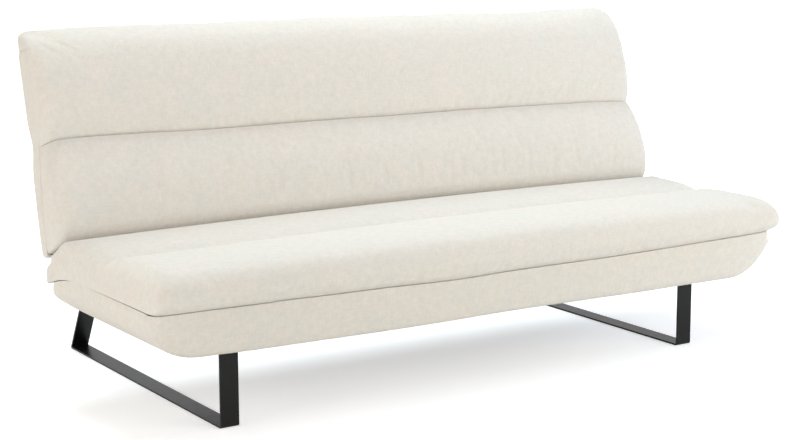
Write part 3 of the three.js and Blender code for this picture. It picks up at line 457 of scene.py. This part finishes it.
def blow_up(piece, held, cap):
    """Lets air pressure fill a piece's skin. The held points stay, and no point moves past the cap."""
    before = points_of(piece)
    group = piece.vertex_groups.new(name="held")
    group.add([int(i) for i in np.nonzero(held)[0]], 1.0, "REPLACE")
    cloth = piece.modifiers.new("cloth", "CLOTH")
    cloth.settings.quality = 3
    cloth.settings.mass = 0.3
    cloth.settings.use_pressure = True
    cloth.settings.uniform_pressure_force = PRESSURE
    cloth.settings.effector_weights.gravity = 0
    cloth.settings.vertex_group_mass = "held"
    cloth.settings.shrink_min = -SLACK
    cloth.collision_settings.use_collision = False
    cloth.point_cache.frame_start = 1
    cloth.point_cache.frame_end = BLOW_FRAMES
    for number in range(1, BLOW_FRAMES + 1):
        scene.frame_set(number)
    settle_modifiers(piece)
    scene.frame_set(1)
    piece.vertex_groups.clear()
    move = points_of(piece) - before
    far = np.linalg.norm(move, axis=1, keepdims=True)
    set_points(piece, before + move * np.minimum(1, cap / np.maximum(far, 1e-9)))
    print(piece.name, "moved up to", round(float(far.max()) * 1000, 1), "mm")


def trim(piece, *planes, close=True):
    """Cuts a piece at planes, each a point and the way out, and closes the cuts with flat faces."""
    cut = bmesh.new()
    cut.from_mesh(piece.data)
    for point, out in planes:
        everything = [*cut.verts, *cut.edges, *cut.faces]
        made = bmesh.ops.bisect_plane(cut, geom=everything, plane_co=point, plane_no=out, clear_outer=True)
        rim = [part for part in made["geom_cut"] if isinstance(part, bmesh.types.BMEdge)]
        for edge in rim:
            edge.smooth = False
        if close:
            bmesh.ops.holes_fill(cut, edges=rim, sides=0)
    cut.to_mesh(piece.data)
    cut.free()


def add_wall(piece, wall):
    """Gives an open skin a wall inwards."""
    thick = piece.modifiers.new("wall", "SOLIDIFY")
    thick.thickness, thick.offset = wall, -1
    settle_modifiers(piece)


def cut_boxes(piece, boxes):
    """Cuts boxes, given by their lowest and highest corners, out of a piece."""
    for low, high in boxes:
        box = bmesh.new()
        bmesh.ops.create_cube(box, size=1)
        low, high = Vector(low), Vector(high)
        bmesh.ops.scale(box, vec=high - low, verts=box.verts)
        bmesh.ops.translate(box, vec=(low + high) / 2, verts=box.verts)
        cutter = finished("cutter", box)
        cut = piece.modifiers.new("slot", "BOOLEAN")
        cut.operation, cut.object, cut.solver = "DIFFERENCE", cutter, "FAST"
        settle_modifiers(piece)
        bpy.data.objects.remove(cutter)


def dress(piece, finish, body):
    """Smooth shading, finish and the body that the piece moves with."""
    piece.data.materials.clear()
    piece.data.materials.append(finish)
    piece.data.polygons.foreach_set("use_smooth", [True] * len(piece.data.polygons))
    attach(piece, body)
    print(piece.name, len(piece.data.polygons), "faces")


# %% [markdown]
# ## The seam round the seat
#
# The seam between the seat cushion and the base isn't straight. Along the front it sags towards the
# middle, where people sit down, and at both ends it dives towards the rear. Both pieces follow one
# rule for it, so that they always meet. They are made with a flat seam first and then warped. A
# narrow gap stays open between them, and shows as the dark line of the seam.

# %% Measure the seam
seat_low, seat_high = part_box("seat_cushion")
base_low, base_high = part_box("base_cover")
HALF = seat_high.x
SEAM_Z = (seat_low.z + base_high.z) / 2
SEAT_GAP, BACK_GAP, CLOSED = 0.0022, 0.0009, 0.0002
front_sag = curve_through([
    (-0.96, 0.0), (-0.88, 0.001), (-0.8, 0.0015), (-0.67, 0.0035), (-0.6, 0.003), (-0.5, 0.0055),
    (-0.34, 0.0075), (-0.13, 0.0125), (0.08, 0.0098), (0.4, 0.0105), (0.73, 0.0055), (0.88, 0.003),
    (0.96, 0.0),
])
SAG_FRONT_Y, SAG_RUN = -0.50, 0.25
DIVE_START_Y, DIVE_DEPTH, DIVE_X, DIVE_RUN = -0.06, 0.036, 0.885, 0.045
WARP_REACH = 0.06


def seam_drop(x, y):
    """How much lower than flat the seam is at a place."""
    front = front_sag(x) * (1 - ease((y - SAG_FRONT_Y) / SAG_RUN))
    rear = DIVE_DEPTH * np.clip((y - DIVE_START_Y) / (seat_high.y - DIVE_START_Y), 0, 1) ** 2
    return front + rear * ease((np.abs(x) - DIVE_X) / DIVE_RUN)


def follow_seam(piece, top, bottom):
    """Warps a piece to the seam's curve. The warp fades out towards its top and its bottom."""
    co = points_of(piece)
    above, below = co[:, 2] - SEAM_Z, SEAM_Z - co[:, 2]
    fade = np.where(above > 0, 1 - ease(above / (top - SEAM_Z)), 1 - ease(below / (SEAM_Z - bottom)))
    co[:, 2] -= seam_drop(co[:, 0], co[:, 1]) * fade
    set_points(piece, co)


print("seam at", round(SEAM_Z, 4), "half length", round(HALF, 3))

# %% [markdown]
# ## The seat cushion
#
# The seat is one long foam cushion. Its front rolls over the base, it has a sewn channel along it
# a little behind the middle, and it falls away under the back. The pairs below are its section: the
# share of the depth from the nose, and the share of the height from the seam. The section starts and
# ends below the seam, and is trimmed there, so that the edges at the seam stay crisp.

# %% Model the seat cushion
SEAT_CROWN, NOSE_CORNER, SEAT_END, REAR_END, END_FROM, END_RUN = 0.009, 0.022, 0.046, 0.003, 0.66, 0.22
REAR_OUT, OUT_FROM, OUT_RUN = 0.009, 0.7, 0.2
RIM_IN, RIM_FROM, RIM_RUN = 0.009, -0.05, 0.2
SEAT_HELD_RIM, SEAT_HELD_REAR, SEAT_CAP = 0.006, 0.16, 0.003
SEAT_LINE = [
    (0.105, -0.17), (0.086, -0.02), (0.04, 0.11), (0.006, 0.33), (-0.002, 0.55), (0.012, 0.75), (0.046, 0.9),
    (0.115, 0.98), (0.24, 1.0), (0.355, 0.99), (0.423, 0.95), (0.471, 0.87), (0.519, 0.935), (0.586, 0.985),
    (0.691, 1.01), (0.768, 1.01), (0.816, 0.98), (0.84, 0.90), (0.864, 0.78), (0.893, 0.66), (0.915, 0.575),
    (0.93, 0.50), (0.936, 0.44), (0.942, 0.385), (0.955, 0.36), (0.975, 0.34), (0.991, 0.275), (1.0, 0.12),
    (1.0, -0.17),
]
seat_depth = seat_high.y - seat_low.y
seat_rise = seat_high.z - SEAT_CROWN - SEAM_Z


def seat_rule(x, along, up):
    """Where a point of the seat's section goes at this place along the sofa."""
    end_round = SEAT_END + (REAR_END - SEAT_END) * float(ease((along - END_FROM) / END_RUN))
    tuck = end_tuck(x, HALF, end_round)
    crown = SEAT_CROWN * (1 - (x / HALF) ** 2) * max(0.0, up)
    y = seat_low.y + along * seat_depth + NOSE_CORNER * tuck * (1 - along)
    z = SEAM_Z + up * (seat_rise + crown) - end_round * tuck * max(up, 0.0)
    rear_out = REAR_OUT * float(ease((along - OUT_FROM) / OUT_RUN))
    rim_in = RIM_IN * (1 - float(ease((up - RIM_FROM) / RIM_RUN)))
    return Vector((x + (rear_out - rim_in) * x / HALF, y, z))


seat = finished("seat_pad", pushed_bar(smooth_line(SEAT_LINE), HALF, seat_rule))
even_skin(seat, relax=2)
co = points_of(seat)
blow_up(seat, (co[:, 2] < SEAM_Z + SEAT_HELD_RIM) | (co[:, 1] > pivot.y - SEAT_HELD_REAR), SEAT_CAP)
trim(seat, ((0, 0, SEAM_Z + SEAT_GAP / 2), (0, 0, -1)))
print("seat top", round(float(points_of(seat)[:, 2].max()), 4))

# %% [markdown]
# The channel is sewn after the skin is made, because the remesh would wash it out. Each point near
# the channel's line goes down: deep and narrow at the stitch, wide and shallow around it. The hinge
# passes the cushion at each end, so two slots are cut into its rear.

# %% Sew the channel and cut the hinge slots
CHANNEL_SHARE = 0.471
CHANNEL_Y = seat_low.y + CHANNEL_SHARE * seat_depth
STITCH_DEPTH, STITCH_WIDTH, HOLLOW_DEPTH, HOLLOW_WIDTH = 0.003, 0.006, 0.004, 0.03
CHANNEL_LOW, CHANNEL_FADE, CHANNEL_INSET, CHANNEL_RUN_OUT = 0.35, 0.03, 0.012, 0.05
HINGE_SLOT_X, HINGE_SLOT_Y, HINGE_SLOT_Z = (0.828, 0.8665), (-0.072, 0.06), (0.282, 0.46)
channel_wander = curve_through([
    (-0.96, 0.004), (-0.6, -0.004), (-0.2, 0.003), (0.2, -0.002), (0.6, 0.004), (0.96, 0),
])
hinge_slots = [
    (
        (min(a, b), pivot.y + HINGE_SLOT_Y[0], HINGE_SLOT_Z[0]),
        (max(a, b), pivot.y + HINGE_SLOT_Y[1], HINGE_SLOT_Z[1]),
    )
    for a, b in (HINGE_SLOT_X, (-HINGE_SLOT_X[0], -HINGE_SLOT_X[1]))
]

co = points_of(seat)
off = co[:, 1] - CHANNEL_Y - channel_wander(co[:, 0])
on_top = ease((co[:, 2] - CHANNEL_LOW) / CHANNEL_FADE)
on_top *= ease((HALF - CHANNEL_INSET - np.abs(co[:, 0])) / CHANNEL_RUN_OUT)
stitch = STITCH_DEPTH * np.exp(-((off / STITCH_WIDTH) ** 2))
hollow = HOLLOW_DEPTH * np.exp(-((off / HOLLOW_WIDTH) ** 2))
co[:, 2] -= on_top * (stitch + hollow)
set_points(seat, co)
cut_boxes(seat, hinge_slots)
follow_seam(seat, SEAM_Z + WARP_REACH, SEAM_Z - WARP_REACH)
dress(seat, cream_cloth, "base")
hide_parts("seat_cushion")

# %% [markdown]
# ## The base
#
# The base is a plywood tray under tight cloth. Both ends of its bottom sweep up in a quarter of an
# ellipse, and its front leans in towards the floor. It is pushed along X like the cushion, its top
# is cut off, and its skin gets a thickness inwards, so that it is an open tray for the frame. Each
# end has its own sweep: how long it is and how high it rises.

# %% Model the base
BASE_SLOPE, SWEEP_LEFT, SWEEP_RIGHT = 0.025, (0.130, 0.104), (0.114, 0.076)
LEFT_CORNER, RIGHT_CORNER, REAR_CORNER, LEFT_PUFF, RIGHT_PUFF = 0.022, 0.004, 0.034, 0.0125, 0.0195
DROOP_WIDTH, BASE_LIP, BASE_WALL, WARP_FOOT = 0.06, 0.08, 0.008, 0.02
base_droop = curve_through([
    (-0.96, -0.002), (-0.8, -0.001), (-0.68, 0.003), (-0.54, 0.005), (-0.34, 0.008), (-0.13, 0.0085),
    (0.08, 0.007), (0.34, 0.0095), (0.48, 0.012), (0.7, 0.0125), (0.85, 0.013), (0.96, 0.008),
])
BASE_LINE = [
    (0, 1.2), (0, 1.0), (0, 0.45), (0.004, 0.12), (0.012, 0.03), (0.03, 0.0), (0.5, 0.0), (0.97, 0.0),
    (0.99, 0.04), (1, 0.15), (1, 1.0), (1, 1.2),
]
base_half = base_high.x
base_rim = SEAM_Z - SEAT_GAP / 2


def base_rule(x, back_share, up):
    """Where a point of the base's section goes: the share from front to rear, and of the height."""
    (length, height), corner = (SWEEP_LEFT, LEFT_CORNER) if x < 0 else (SWEEP_RIGHT, RIGHT_CORNER)
    sweep = min(1.0, max(0.0, (abs(x) - base_half + length) / length))
    droop = float(base_droop(x)) * (1 - float(ease(back_share * (base_high.y - base_low.y) / DROOP_WIDTH)))
    low = base_low.z + height * (1 - math.sqrt(1 - sweep**2)) - droop
    front = base_low.y + BASE_SLOPE * (1 - up) + corner * end_tuck(x, base_half, corner)
    rear = base_high.y - REAR_CORNER * end_tuck(x, base_half, REAR_CORNER)
    puff = 1 + (LEFT_PUFF if x < 0 else RIGHT_PUFF) * math.sin(math.pi * min(1.0, max(0.0, up))) * sweep**4
    z = low + min(up, 1) * (base_rim - low) + BASE_LIP * max(0.0, up - 1)
    return Vector((x * puff, front + back_share * (rear - front), z))


base = finished("base_cloth", pushed_bar([Vector(p) for p in BASE_LINE], base_half, base_rule, 110))
even_skin(base, relax=2)
trim(base, ((0, 0, base_rim), (0, 0, 1)), close=False)
add_wall(base, BASE_WALL)
cut_boxes(base, hinge_slots)
follow_seam(base, SEAM_Z + WARP_REACH, base_low.z + WARP_FOOT)
dress(base, cream_cloth, "base")
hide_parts("base_cover")

# %% [markdown]
# ## The back
#
# The back leans behind the hinge. Its parts are drawn in its own frame: how far they stand in front
# of or behind the hinge line, and how far up from it. One matrix then leans them and sets them on
# the hinge. Two panels of foam, sewn together along the middle, cover its front, and the upper one
# rolls over the top. A plain cover closes its rear and its ends.

# %% The back's own frame
BACK_LEAN = math.radians(14.5)
lean_back = Matrix.Translation(pivot) @ Matrix.Rotation(-BACK_LEAN, 4, "X")


def own_box(node):
    """A node's lowest and highest corners in the back's own frame."""
    upright = lean_back.inverted()
    corners = [upright @ point.co for point in frame["nodes"][node].data.vertices]
    return Vector(map(min, *corners)), Vector(map(max, *corners))


cover_low, cover_high = own_box("back_rear_cover")
lower_low, lower_high = own_box("back_lower_panel")
upper_low, upper_high = own_box("back_upper_panel")
PANEL_FACE = cover_low.y
BACK_SEAM = (lower_high.z + upper_low.z) / 2
back_seam_at = curve_through([
    (-0.96, 0.290), (-0.93, 0.302), (-0.885, 0.3085), (-0.7, 0.308), (-0.5, 0.304), (-0.18, 0.304),
    (0.1, 0.3015), (0.3, 0.3015), (0.6, 0.2975), (0.8, 0.294), (0.9, 0.289), (0.96, 0.283),
])
back_top_at = curve_through([
    (-0.96, 0.592), (-0.92, 0.600), (-0.82, 0.604), (-0.64, 0.605), (-0.45, 0.602), (-0.1, 0.603),
    (0.15, 0.600), (0.38, 0.598), (0.62, 0.593), (0.8, 0.597), (0.93, 0.594), (0.96, 0.588),
])
print("panel face", round(PANEL_FACE, 4), "seam", round(BACK_SEAM, 4), "top", round(upper_high.z, 4))

# %% [markdown]
# The back is pinched at both ends where the long seam runs out: the thread pulls the end strip in.
# This helper draws in all three parts alike, and warps the panels to the seam's curve. Low down the
# ends stand out a little, where the padding is squeezed against the seat. The helper also bends the
# line between the panels and the end strip, which runs to the rear near the bottom.

# %% Helpers for the back
PINCH_LEFT, PINCH_RIGHT, PINCH_HEIGHT, PINCH_X, PINCH_RUN = 0.007, 0.001, 0.045, 0.88, 0.06
FLARE, FLARE_FROM, FLARE_RUN = 0.0055, 0.08, 0.35
STRIP_FADE, STRIP_X, STRIP_RUN = 0.035, 0.89, 0.05
SEAM_VALLEY, VALLEY_WIDTH, VALLEY_REAR = 0.0045, 0.006, 0.004
strip_shift = curve_through([
    (0.0, 0.017), (0.03, 0.020), (0.087, 0.017), (0.162, 0.009), (0.237, 0.003), (0.308, 0.005),
    (0.363, -0.001), (0.46, -0.002), (0.566, 0.003), (0.62, 0.004),
])


def sew_back(piece, far_z):
    """Pinches the ends, bends the seam and cuts its valley. The bend fades out towards far_z."""
    co = points_of(piece)
    near_end = ease((np.abs(co[:, 0]) - PINCH_X) / PINCH_RUN)
    depth = np.where(co[:, 0] < 0, PINCH_LEFT, PINCH_RIGHT)
    pull = depth * np.exp(-(((co[:, 2] - BACK_SEAM) / PINCH_HEIGHT) ** 2)) * near_end
    flare = FLARE * (1 - ease((co[:, 2] - FLARE_FROM) / FLARE_RUN)) * near_end
    co[:, 0] += np.sign(co[:, 0]) * (flare - pull)
    near_strip = np.exp(-(((co[:, 1] - PANEL_FACE) / STRIP_FADE) ** 2))
    co[:, 1] += strip_shift(co[:, 2]) * near_strip * ease((np.abs(co[:, 0]) - STRIP_X) / STRIP_RUN)
    if far_z is not None:
        share = np.clip((co[:, 2] - far_z) / (BACK_SEAM - far_z), 0, 1)
        valley = np.exp(-(((co[:, 2] - BACK_SEAM) / VALLEY_WIDTH) ** 2))
        valley *= co[:, 1] < PANEL_FACE - VALLEY_REAR
        co[:, 1] += SEAM_VALLEY * valley
        co[:, 2] += (back_seam_at(co[:, 0]) - BACK_SEAM) * share
    set_points(piece, co)
    piece.data.transform(lean_back)


def panel_section(line, low, high, bulge, hook, start, end):
    """A panel's outline in thickness and height: its curved front between its rear corners."""
    front = [
        Vector((PANEL_FACE - out * (bulge if out > 0 else hook), low + up * (high - low)))
        for up, out in smooth_line(line)
    ]
    return [Vector(start), *front, *[Vector(p) for p in end]]


# %% [markdown]
# The lower panel has its fullest part low down, where it meets the seat. The pairs are the share of
# its height, and the share of its bulge in front of the cover. Each panel reaches past its seams by
# the overlap and is trimmed there, so that its edges stay crisp.

# %% Model the lower panel
LOWER_LINE = [
    (0.0, 0.10), (0.01, 0.27), (0.03, 0.455), (0.062, 0.63), (0.1, 0.755), (0.15, 0.86), (0.22, 0.955),
    (0.32, 1.0), (0.45, 1.0), (0.57, 0.965), (0.7, 0.86), (0.83, 0.71), (0.93, 0.56), (0.98, 0.475),
    (1.06, 0.40),
]
PANEL_END, LOWER_FLATTEN, UPPER_FLATTEN, LOWER_ARCH, OVERLAP = 0.028, 0.86, 0.80, 0.012, 0.016
HELD_FACE, HELD_SEAM, HELD_FOOT, HELD_LEDGE = 0.008, 0.004, 0.06, 0.012
LOWER_CAP, UPPER_CAP = 0.004, 0.0035
lower_bulge = PANEL_FACE - lower_low.y


def lower_rule(x, thick, up):
    """Rounds the lower panel's ends and arches its bottom over the seat's crown."""
    tuck = end_tuck(x, HALF, PANEL_END)
    from_top = max(0.0, (lower_high.z - up) / (lower_high.z - lower_low.z))
    arch = LOWER_ARCH * from_top**2 * (1 - (x / HALF) ** 2)
    return Vector((x, thick - min(0.0, thick - PANEL_FACE) * tuck * LOWER_FLATTEN, up + arch))


section = panel_section(
    LOWER_LINE, lower_low.z, BACK_SEAM, lower_bulge, 0,
    (PANEL_FACE + OVERLAP, cover_low.z), [(PANEL_FACE + OVERLAP, BACK_SEAM + OVERLAP)],
)
lower = finished("lower_back_pad", pushed_bar(section, HALF, lower_rule))
even_skin(lower)
co = points_of(lower)
held = (co[:, 1] > PANEL_FACE - HELD_FACE) | (co[:, 2] > BACK_SEAM - HELD_SEAM)
held |= co[:, 2] < lower_low.z + HELD_FOOT
blow_up(lower, held, LOWER_CAP)
trim(lower, ((0, 0, BACK_SEAM - BACK_GAP / 2), (0, 0, 1)), ((0, PANEL_FACE - CLOSED, 0), (0, 1, 0)))
sew_back(lower, lower_low.z)
dress(lower, cream_cloth, "back")
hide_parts("back_lower_panel")

# %% [markdown]
# The upper panel rolls over the top of the cover and ends in a short lip behind it. A negative share
# in its pairs lies behind the cover's face.

# %% Model the upper panel
TOP_END_DROP = 0.007
UPPER_LINE = [
    (-0.055, 0.58), (0.02, 0.655), (0.066, 0.78), (0.15, 0.93), (0.27, 1.0), (0.41, 1.0), (0.53, 0.94),
    (0.66, 0.8), (0.75, 0.64), (0.85, 0.3), (0.94, -0.22), (0.985, -0.55), (1.0, -0.78), (0.985, -0.95),
    (0.95, -1.0),
]
ledge = cover_high.z
hook = upper_high.y - PANEL_FACE
upper_bulge = PANEL_FACE - upper_low.y


def upper_rule(x, thick, up):
    """Rounds the upper panel's ends and gives its top the line of the real one."""
    tuck = end_tuck(x, HALF, PANEL_END)
    share = (up - BACK_SEAM) / (upper_high.z - BACK_SEAM)
    end_drop = TOP_END_DROP * tuck * max(0.0, share) ** 3
    up = BACK_SEAM + share * (float(back_top_at(x)) - BACK_SEAM) - end_drop
    return Vector((x, thick - min(0.0, thick - PANEL_FACE) * tuck * UPPER_FLATTEN, up))


section = panel_section(
    UPPER_LINE, BACK_SEAM, upper_high.z, upper_bulge, hook,
    (PANEL_FACE + OVERLAP, BACK_SEAM - OVERLAP),
    [(PANEL_FACE + hook, ledge - OVERLAP), (PANEL_FACE + OVERLAP, ledge - OVERLAP)],
)
upper = finished("upper_back_pad", pushed_bar(section, HALF, upper_rule))
even_skin(upper)
co = points_of(upper)
held = (co[:, 1] > PANEL_FACE - HELD_FACE) & (co[:, 2] < ledge + HELD_LEDGE)
held |= co[:, 2] < BACK_SEAM + HELD_SEAM
blow_up(upper, held, UPPER_CAP)
trim(upper, ((0, 0, BACK_SEAM + BACK_GAP / 2), (0, 0, -1)))
cut_boxes(upper, [((-1, PANEL_FACE - CLOSED, 0), (1, 0.1, ledge + CLOSED))])
sew_back(upper, upper_high.z)
dress(upper, cream_cloth, "back")
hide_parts("back_upper_panel")

# %% [markdown]
# The rear cover is a shallow tray of cloth over board. It is the narrow strip at the back's ends and
# its whole rear. Slots in its bottom let the two hinge arms through.

# %% Model the rear cover
COVER_ROUND, COVER_WALL, REAR_FROM, ARM_X, ARM_SLOT = 0.004, 0.006, 0.01, 0.8466, 0.0028
bottom, top, front, rear = cover_low.z, cover_high.z, PANEL_FACE - OVERLAP, cover_high.y
cover_section = [
    Vector(p)
    for p in [
        (front, bottom), (rear - 0.014, bottom), (rear - 0.005, bottom + 0.004), (rear, bottom + 0.014),
        (rear, top - 0.01), (rear - 0.003, top - 0.002), (rear - 0.012, top), (front, top),
    ]
]


def cover_rule(x, thick, up):
    """Rounds the rear edges of the cover's ends and its corners."""
    tuck = end_tuck(x, HALF, COVER_ROUND)
    return Vector((x, thick - (COVER_ROUND * tuck if thick > REAR_FROM else 0), up))


cover = finished("rear_cloth", pushed_bar(cover_section, HALF, cover_rule, 100))
even_skin(cover, VOXEL * 0.85, relax=1)
trim(cover, ((0, PANEL_FACE, 0), (0, -1, 0)), close=False)
add_wall(cover, COVER_WALL)
arm_slots = [
    ((side * ARM_X - ARM_SLOT, -0.05, -0.01), (side * ARM_X + ARM_SLOT, 0.022, 0.04)) for side in (-1, 1)
]
cut_boxes(cover, arm_slots)
sew_back(cover, None)
dress(cover, cream_cloth, "back")
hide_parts("back_rear_cover")

# %% [markdown]
# ## Hard parts
#
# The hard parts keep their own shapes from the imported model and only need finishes.

# %% Finishes for steel, wood and lining


def plain_finish(name, colour, roughness, metallic=0.0, grain=(1, 1, 1), shine=0.5):
    """A finish with a little variation in colour and roughness, and relief from a fine noise."""
    finish = bpy.data.materials.new(name)
    finish.use_nodes = True
    surface = finish.node_tree.nodes["Principled BSDF"]
    surface.inputs["Metallic"].default_value = metallic
    surface.inputs["Specular IOR Level"].default_value = shine
    place = add_node(finish, "ShaderNodeTexCoord")
    stretch = add_node(finish, "ShaderNodeMapping")
    stretch.inputs["Scale"].default_value = grain
    speckle = add_node(finish, "ShaderNodeTexNoise", Scale=90, Detail=4, Roughness=0.6)
    tone = add_node(finish, "ShaderNodeMix", data_type="RGBA")
    tone.inputs[6].default_value = (*[c * 0.84 for c in colour], 1)
    tone.inputs[7].default_value = (*colour, 1)
    gloss = add_node(finish, "ShaderNodeMapRange")
    gloss.inputs["To Min"].default_value = roughness - 0.06
    gloss.inputs["To Max"].default_value = roughness + 0.06
    relief = add_node(finish, "ShaderNodeBump", Strength=0.2, Distance=0.0003)
    join_sockets(
        finish,
        (place.outputs["Object"], stretch.inputs[0]),
        (stretch.outputs[0], speckle.inputs["Vector"]),
        (speckle.outputs[0], tone.inputs[0]),
        (tone.outputs[2], surface.inputs["Base Color"]),
        (speckle.outputs[0], gloss.inputs[0]),
        (gloss.outputs[0], surface.inputs["Roughness"]),
        (speckle.outputs[0], relief.inputs["Height"]),
        (relief.outputs[0], surface.inputs["Normal"]),
    )
    return finish


finishes = {
    "black_steel": plain_finish("black_powder_coat", (0.0045, 0.0045, 0.0047), 0.34, shine=0.2),
    "black_bolts": plain_finish("black_oxide", (0.02, 0.02, 0.02), 0.4, 0.6),
    "zinc_steel": plain_finish("zinc_plate", (0.50, 0.51, 0.52), 0.34, 1.0),
    "pine_rails": plain_finish("planed_pine", (0.62, 0.44, 0.24), 0.6, grain=(0.1, 1, 1)),
    "birch_slats": plain_finish("birch_veneer", (0.66, 0.50, 0.30), 0.5, grain=(1, 0.1, 1)),
    "lining": plain_finish("black_lining", (0.02, 0.02, 0.021), 0.9),
}
for part in frame["record"]["subparts"]:
    node = frame["nodes"][part["node"]]
    if part["material_slot"] in finishes:
        node.data.materials.clear()
        node.data.materials.append(finishes[part["material_slot"]])
print("finishes:", sorted(finishes))
